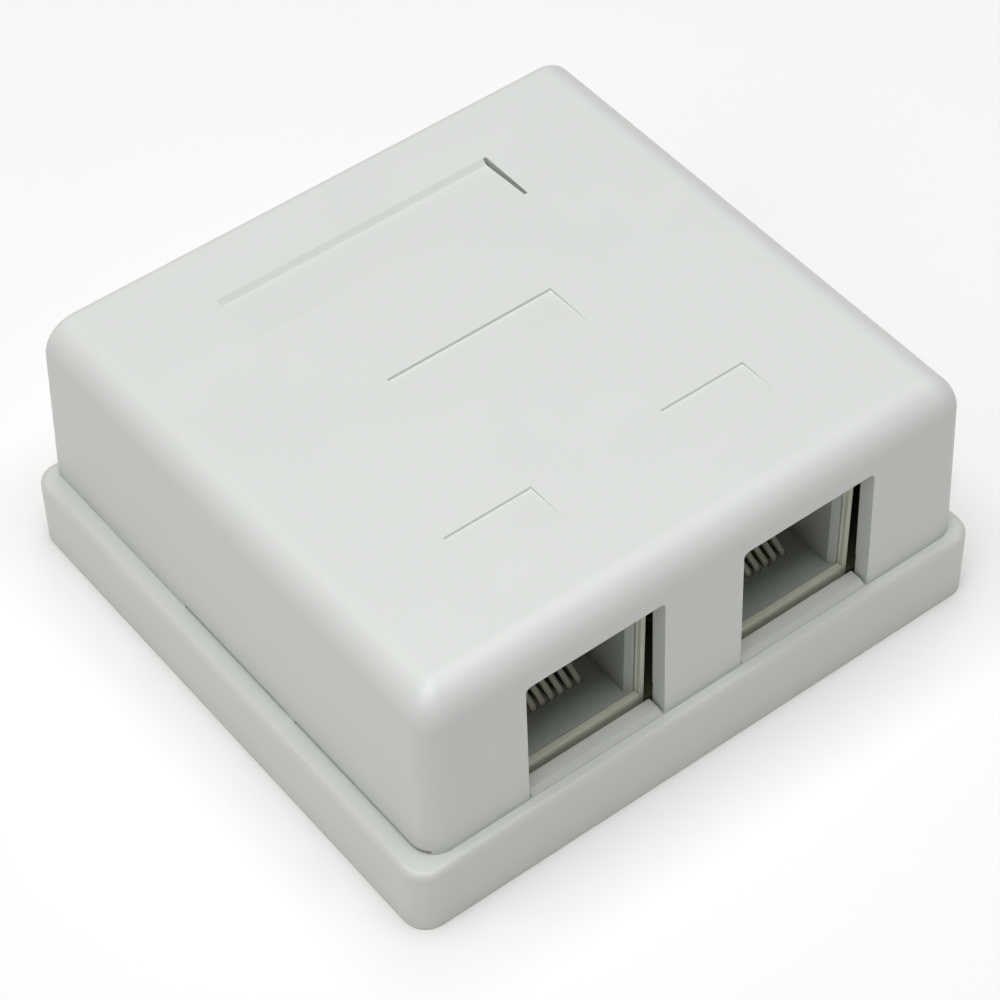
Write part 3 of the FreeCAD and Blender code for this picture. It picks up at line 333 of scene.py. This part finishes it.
def joined(name, meshes):
    """One mesh from several."""
    work = bmesh.new()
    for mesh in meshes:
        work.from_mesh(mesh)
    whole = bpy.data.meshes.new(name)
    work.to_mesh(whole)
    work.free()
    return whole


def bar(name, low, high):
    """A straight bar between two corners."""
    work = bmesh.new()
    bmesh.ops.create_cube(work, size=1.0)
    for vertex in work.verts:
        for axis in range(3):
            vertex.co[axis] = high[axis] if vertex.co[axis] > 0 else low[axis]
    for face in work.faces:
        face.smooth = True
    mesh = bpy.data.meshes.new(name)
    work.to_mesh(mesh)
    work.free()
    return mesh


def mark_creases(mesh):
    """Sharp where the surface turns hard, and where two broad flats meet at even a small angle."""
    # A face is a broad flat when its area is more than its perimeter times this
    broad = 0.8 * MM
    soft_angle = math.radians(2)
    work = bmesh.new()
    work.from_mesh(mesh)
    for edge in work.edges:
        turn = edge.calc_face_angle(0)
        flats = all(face.calc_area() > broad * face.calc_perimeter() for face in edge.link_faces)
        edge.smooth = turn < (soft_angle if flats else CRISP_ANGLE)
    work.to_mesh(mesh)
    work.free()


def link_piece(name, mesh, material):
    """A finished piece at the origin, with its one material."""
    piece = bpy.data.objects.new(name, mesh)
    bpy.context.scene.collection.objects.link(piece)
    mesh.materials.clear()
    mesh.materials.append(material)
    return piece


def baked(piece):
    """The piece with its modifiers worked into its mesh and then removed."""
    bpy.context.view_layer.update()
    evaluated = piece.evaluated_get(bpy.context.evaluated_depsgraph_get())
    mesh = bpy.data.meshes.new_from_object(evaluated)
    if not mesh.polygons:
        raise RuntimeError(f"{piece.name} came out empty")
    piece.modifiers.clear()
    piece.data = mesh
    return piece


def softened(piece, edge):
    """The piece with its sharp edges broken and its curves shaded smooth."""
    if edge:
        bevel = piece.modifiers.new("edge", "BEVEL")
        bevel.width = edge
        bevel.segments = 2
        bevel.limit_method = "ANGLE"
        bevel.angle_limit = CRISP_ANGLE
        bevel.use_clamp_overlap = True
        baked(piece)
    mark_creases(piece.data)
    shade = piece.modifiers.new("shade", "WEIGHTED_NORMAL")
    shade.keep_sharp = True
    return baked(piece)


def finish_shell(node, material, edge):
    """A packed moulding with its sharp edges just broken and its curves shaded smooth."""
    return softened(link_piece(f"{node}_moulding", welded(node), material), edge)


def dress_node(node, material):
    """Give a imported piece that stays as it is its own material."""
    mesh = frame["nodes"][node].data
    for place in range(len(mesh.materials)):
        mesh.materials[place] = material
    if not mesh.materials:
        mesh.materials.append(material)


# What repeats in a row or follows a line


def row_along_x(tree, given):
    """Copies of the given shape along X, a pitch apart."""
    step = add_node(tree, "ShaderNodeCombineXYZ", inputs={"X": given["Pitch"]})
    line = add_node(tree, "GeometryNodeMeshLine",
                    inputs={"Count": given["Count"], "Offset": step.outputs["Vector"]})
    copies = add_node(tree, "GeometryNodeInstanceOnPoints",
                      inputs={"Points": line.outputs["Mesh"], "Instance": given["Geometry"]})
    return copies.outputs["Instances"]


def strip_along_lines(tree, given):
    """A flat strip along each line of the given edges."""
    line = add_node(tree, "GeometryNodeMeshToCurve", inputs={"Mesh": given["Geometry"]})
    level = add_node(tree, "GeometryNodeSetCurveNormal", {"mode": "Z_UP"},
                     {"Curve": line.outputs["Curve"]})
    section = add_node(tree, "GeometryNodeCurvePrimitiveQuadrilateral",
                       inputs={"Width": given["Width"], "Height": given["Height"]})
    strip = add_node(tree, "GeometryNodeCurveToMesh",
                     inputs={"Curve": level.outputs["Curve"], "Profile Curve": section.outputs["Curve"],
                             "Fill Caps": True})
    return strip.outputs["Mesh"]


# What each node tree takes besides a shape and a material
TREES = {row_along_x: {"Count": "Int", "Pitch": "Float"},
         strip_along_lines: {"Width": "Float", "Height": "Float"}}


def node_tree(make_shape):
    """Geometry nodes with named inputs; what they make is realised and gets its material."""
    tree = bpy.data.node_groups.new(make_shape.__name__, "GeometryNodeTree")
    for name, kind in {"Geometry": "Geometry", **TREES[make_shape], "Material": "Material"}.items():
        tree.interface.new_socket(name, in_out="INPUT", socket_type=f"NodeSocket{kind}")
    tree.interface.new_socket("Geometry", in_out="OUTPUT", socket_type="NodeSocketGeometry")
    given = add_node(tree, "NodeGroupInput").outputs
    solid = add_node(tree, "GeometryNodeRealizeInstances", inputs={"Geometry": make_shape(tree, given)})
    done = add_node(tree, "GeometryNodeSetMaterial",
                    inputs={"Geometry": solid.outputs["Geometry"], "Material": given["Material"]})
    add_node(tree, "NodeGroupOutput", inputs={"Geometry": done.outputs["Geometry"]})
    return tree


def grown(piece, make_shape, values):
    """The piece with its mesh worked on by a node tree, and the result baked."""
    tree = bpy.data.node_groups.get(make_shape.__name__) or node_tree(make_shape)
    modifier = piece.modifiers.new(tree.name, "NODES")
    modifier.node_group = tree
    for socket in tree.interface.items_tree:
        if socket.in_out == "INPUT" and socket.name in values:
            modifier[socket.identifier] = values[socket.name]
    return baked(piece)


def rows_of(kind, side):
    """The names of a jack's eight contacts or terminals, in their two rows."""
    return [[f"{kind}_{side}_{number}" for number in row] for row in ROWS[kind]]


def repeated_rows(name, meshes, row, material):
    """One piece on the base unit from meshes that stand at the start of a row, repeated along it."""
    pitch = (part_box(row[-1])[0].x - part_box(row[0])[0].x) / (len(row) - 1)
    piece = link_piece(name, joined(name, meshes), material)
    grown(piece, row_along_x, {"Count": len(row), "Pitch": pitch, "Material": material})
    piece.data.set_sharp_from_angle(angle=CRISP_ANGLE)
    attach(piece, BASE_UNIT)
    return piece


def finish_rows(name, rows, material):
    """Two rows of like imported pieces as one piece, repeated from the first of each row."""
    piece = repeated_rows(name, [welded(row[0]) for row in rows], rows[0], material)
    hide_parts(*rows[0], *rows[1])


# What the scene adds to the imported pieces


def bezel_band(side):
    """The bezel's lower band: it runs from behind the sill up to the floor of the plug's socket."""
    side_gap = 0.15 * MM
    proud = 0.05 * MM
    socket_gap = 0.1 * MM
    height = 2.0 * MM
    carrier_low, carrier_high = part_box(f"contact_carrier_{side}")
    socket = next(opening["box_m"] for opening in frame["record"]["physics"]["openings"]
                  if opening["name"] == f"plug_socket_{side}")
    top = socket[0][2] - socket_gap
    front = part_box(f"jack_housing_{side}")[0].y - proud
    return bar("bezel_band", (carrier_low.x - side_gap, front, top - height),
               (carrier_high.x + side_gap, carrier_low.y, top))


def pin_foot(node):
    """The middle of a pin where it comes out under the board."""
    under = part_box("circuit_board")[0].z
    tip = [vertex.co for vertex in frame["nodes"][node].data.vertices if vertex.co.z < under]
    across = [point.x for point in tip]
    along = [point.y for point in tip]
    return Vector(((min(across) + max(across)) / 2, (min(along) + max(along)) / 2, under))


def solder_joint(foot, sizes):
    """A solder joint that hangs from the board's underside: broad at its foot, drawn in to the pin."""
    rings = 6
    turns = 20
    draw_in = 2.2
    pin_radius = 0.3 * MM
    work = bmesh.new()
    loops = []
    for ring in range(rings + 1):
        share = ring / rings
        reach = pin_radius + (sizes.joint_radius - pin_radius) * (1 - share) ** draw_in
        drop = Vector((0, 0, sizes.joint_height * share))
        loops.append([])
        for turn in range(turns):
            bearing = turn * math.tau / turns
            side = Vector((math.cos(bearing), math.sin(bearing), 0)) * reach
            loops[-1].append(work.verts.new(foot + side - drop))
    for upper, lower in zip(loops, loops[1:]):
        for turn in range(turns):
            after = (turn + 1) % turns
            work.faces.new((upper[turn], lower[turn], lower[after], upper[after]))
    work.faces.new(loops[0])
    work.faces.new(reversed(loops[-1]))
    for face in work.faces:
        face.smooth = True
    bmesh.ops.recalc_face_normals(work, faces=work.faces)
    mesh = bpy.data.meshes.new("solder_joint")
    work.to_mesh(mesh)
    work.free()
    return mesh


def middle_of(node):
    """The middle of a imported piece's box."""
    low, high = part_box(node)
    return (low + high) / 2


def track_lines(side, lift):
    """The middle lines of a jack's eight tracks: straight out from under the jack, over, and on."""
    stub = 0.4 * MM
    half_gap = 0.6 * MM
    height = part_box("circuit_board")[1].z + lift
    start_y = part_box(f"jack_housing_{side}")[1].y
    end_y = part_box(f"terminal_block_{side}")[0].y
    points = []
    edges = []
    for number in range(CONTACTS):
        start_x = middle_of(f"contact_{side}_{number + 1}").x
        column = middle_of(rows_of("terminal_clip", side)[0][number // 2]).x
        end_x = column + (half_gap if number % 2 else -half_gap)
        line = [(start_x, start_y, height), (start_x, start_y + stub, height),
                (end_x, end_y - stub, height), (end_x, end_y, height)]
        edges += [(len(points) + step, len(points) + step + 1) for step in range(len(line) - 1)]
        points += line
    return points, edges


# The operators, one for each group of pieces


class JACKBOX_OT_cover(bpy.types.Operator):
    """Finish the cover's shell"""

    bl_idname = "jackbox.cover"
    bl_label = "Cover"

    def execute(self, context):
        edge = context.scene.jack_box_sizes.soft_edge
        piece = finish_shell("cover", material_named("cover ABS"), edge)
        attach(piece, LID)
        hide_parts("cover")
        return {"FINISHED"}


class JACKBOX_OT_base(bpy.types.Operator):
    """Finish the base tray"""

    bl_idname = "jackbox.base"
    bl_label = "Base"

    def execute(self, context):
        edge = context.scene.jack_box_sizes.soft_edge
        piece = finish_shell("base", material_named("base ABS"), edge)
        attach(piece, BASE_UNIT)
        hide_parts("base")
        return {"FINISHED"}


class JACKBOX_OT_jacks(bpy.types.Operator):
    """Finish the housings, contact carriers and bezel bands of both jacks"""

    bl_idname = "jackbox.jacks"
    bl_label = "Jacks"

    def execute(self, context):
        edge = context.scene.jack_box_sizes.soft_edge
        ivory = material_named("housing")
        kinds = {"jack_housing": (ivory, "jack_ivory"),
                 "contact_carrier": (material_named("carrier"), "carrier_dark")}
        for side in SIDES:
            for kind, (material, slot_name) in kinds.items():
                node = f"{kind}_{side}"
                piece = finish_shell(node, material, edge / 2)
                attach(piece, BASE_UNIT)
                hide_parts(node)
            band = link_piece(f"bezel_band_{side}", bezel_band(side), ivory)
            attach(softened(band, edge), BASE_UNIT)
        return {"FINISHED"}


class JACKBOX_OT_contacts(bpy.types.Operator):
    """Finish the sprung contact wires of both jacks"""

    bl_idname = "jackbox.contacts"
    bl_label = "Contacts"

    def execute(self, context):
        gold = material_named("gold")
        for side in SIDES:
            finish_rows(f"contacts_{side}", rows_of("contact", side), gold)
        return {"FINISHED"}


class JACKBOX_OT_terminals(bpy.types.Operator):
    """Finish the terminal blocks and their forks"""

    bl_idname = "jackbox.terminals"
    bl_label = "Terminals"

    def execute(self, context):
        edge = context.scene.jack_box_sizes.soft_edge
        tin = material_named("tin")
        for side in SIDES:
            node = f"terminal_block_{side}"
            piece = finish_shell(node, material_named("block"), edge)
            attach(piece, BASE_UNIT)
            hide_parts(node)
            finish_rows(f"terminal_clips_{side}", rows_of("terminal_clip", side), tin)
        return {"FINISHED"}


class JACKBOX_OT_board(bpy.types.Operator):
    """Finish the circuit board, its screws and its tracks"""

    bl_idname = "jackbox.board"
    bl_label = "Board"

    def execute(self, context):
        dress_node("circuit_board", material_named("board"))
        for end in ("front", "back"):
            node = f"board_screw_{end}"
            piece = finish_shell(node, material_named("zinc"), 0)
            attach(piece, BASE_UNIT)
            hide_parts(node)
        sizes = context.scene.jack_box_sizes
        track = material_named("track")
        for side in SIDES:
            name = f"tracks_{side}"
            points, edges = track_lines(side, sizes.track_height / 2)
            mesh = bpy.data.meshes.new(name)
            mesh.from_pydata(points, edges, [])
            piece = link_piece(name, mesh, track)
            grown(piece, strip_along_lines,
                  {"Width": sizes.track_width, "Height": sizes.track_height, "Material": track})
            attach(piece, BASE_UNIT)
        return {"FINISHED"}


class JACKBOX_OT_solder(bpy.types.Operator):
    """Solder every pin under the board"""

    bl_idname = "jackbox.solder"
    bl_label = "Solder"

    def execute(self, context):
        sizes = context.scene.jack_box_sizes
        solder = material_named("solder")
        for side in SIDES:
            for kind in ROWS:
                rows = rows_of(kind, side)
                joints = [solder_joint(pin_foot(row[0]), sizes) for row in rows]
                repeated_rows(f"solder_{kind}_{side}", joints, rows[0], solder)
        return {"FINISHED"}


# The stage: camera, floor and light

# Each soft box's place and width in metres; its power is a setting of the same name
SOFT_BOXES = {"overhead": ((0.0, 0.0, 0.9), 0.8),
              "side": ((-0.6, -0.05, 0.7), 0.6),
              "fill": ((-0.1, -0.7, 0.5), 0.3)}


def camera_frame(settings):
    """The camera's place and turn as one matrix."""
    azimuth = settings.azimuth
    elevation = settings.elevation
    roll = settings.roll
    behind = Vector((math.sin(azimuth) * math.cos(elevation), -math.cos(azimuth) * math.cos(elevation),
                     math.sin(elevation)))
    right = Vector((0, 0, 1)).cross(behind).normalized()
    up = behind.cross(right)
    turned_right = right * math.cos(roll) + up * math.sin(roll)
    turned_up = up * math.cos(roll) - right * math.sin(roll)
    turn = Matrix((turned_right, turned_up, behind)).transposed().to_4x4()
    return Matrix.Translation(Vector(settings.camera_place)) @ turn


def set_camera(settings):
    """The camera at the photograph's viewing angle."""
    data = bpy.data.cameras.new("camera")
    data.sensor_width = 36.0
    data.lens = settings.lens
    data.clip_start = 0.01
    data.clip_end = 10.0
    camera = bpy.data.objects.new("camera", data)
    camera.matrix_world = camera_frame(settings)
    bpy.context.scene.collection.objects.link(camera)
    bpy.context.scene.camera = camera


def lay_floor():
    """A paper floor, lowered by a hair so that it and the underside don't lie in one plane."""
    reach = 2.0
    level = -0.02 * MM
    corners = [(-reach, -reach, level), (reach, -reach, level),
               (reach, reach, level), (-reach, reach, level)]
    mesh = bpy.data.meshes.new("floor")
    mesh.from_pydata(corners, [], [(0, 1, 2, 3)])
    mesh.materials.append(material_named("floor"))
    floor = bpy.data.objects.new("floor", mesh)
    bpy.context.scene.collection.objects.link(floor)


def area_light(name, place, target, width, watts):
    """A square soft box that shines at a point."""
    data = bpy.data.lights.new(name, "AREA")
    data.shape = "SQUARE"
    data.size = width
    data.energy = watts
    light = bpy.data.objects.new(name, data)
    light.location = place
    light.rotation_mode = "QUATERNION"
    light.rotation_quaternion = (target - place).to_track_quat("-Z", "Y")
    bpy.context.scene.collection.objects.link(light)


def hang_lights(settings):
    """A faint even light from all round, and the soft boxes."""
    world = bpy.data.worlds.new("studio")
    world.use_nodes = True
    backdrop = world.node_tree.nodes["Background"]
    backdrop.inputs["Color"].default_value = (1.0, 1.0, 1.0, 1.0)
    backdrop.inputs["Strength"].default_value = settings.dome
    bpy.context.scene.world = world
    target = Vector((0, 0, 0.01))
    for name, (place, width) in SOFT_BOXES.items():
        area_light(name, Vector(place), target, width, getattr(settings, name))


class JACKBOX_OT_stage(bpy.types.Operator):
    """Set the camera, lay the floor and hang the lights"""

    bl_idname = "jackbox.stage"
    bl_label = "Stage"

    def execute(self, context):
        settings = context.scene.jack_box_stage
        set_camera(settings)
        lay_floor()
        hang_lights(settings)
        context.scene.view_settings.view_transform = "Standard"
        return {"FINISHED"}


# The add-on's panel and its classes

OPERATORS = (JACKBOX_OT_stage, JACKBOX_OT_base, JACKBOX_OT_cover, JACKBOX_OT_jacks,
             JACKBOX_OT_contacts, JACKBOX_OT_terminals, JACKBOX_OT_board, JACKBOX_OT_solder)
GROUPS = {"jack_box_finish": JackBoxFinish, "jack_box_sizes": JackBoxSizes,
          "jack_box_stage": JackBoxStage}


class JACKBOX_PT_panel(bpy.types.Panel):
    """Buttons and settings for the jack box"""

    bl_idname = "JACKBOX_PT_panel"
    bl_label = "Jack Box"
    bl_space_type = "VIEW_3D"
    bl_region_type = "UI"
    bl_category = "Jack Box"

    def draw(self, context):
        for operator in OPERATORS:
            self.layout.operator(operator.bl_idname)
        for group in GROUPS:
            settings = getattr(context.scene, group)
            for name in settings.__annotations__:
                self.layout.prop(settings, name)


def register():
    for kind in (*GROUPS.values(), *OPERATORS, JACKBOX_PT_panel):
        bpy.utils.register_class(kind)
    for name, group in GROUPS.items():
        setattr(bpy.types.Scene, name, PointerProperty(type=group))


def unregister():
    for name in GROUPS:
        delattr(bpy.types.Scene, name)
    for kind in (JACKBOX_PT_panel, *reversed(OPERATORS), *reversed(list(GROUPS.values()))):
        bpy.utils.unregister_class(kind)


def main():
    register()
    for operator in OPERATORS:
        group, name = operator.bl_idname.split(".")
        getattr(getattr(bpy.ops, group), name)()


if __name__ == "__main__":
    main()
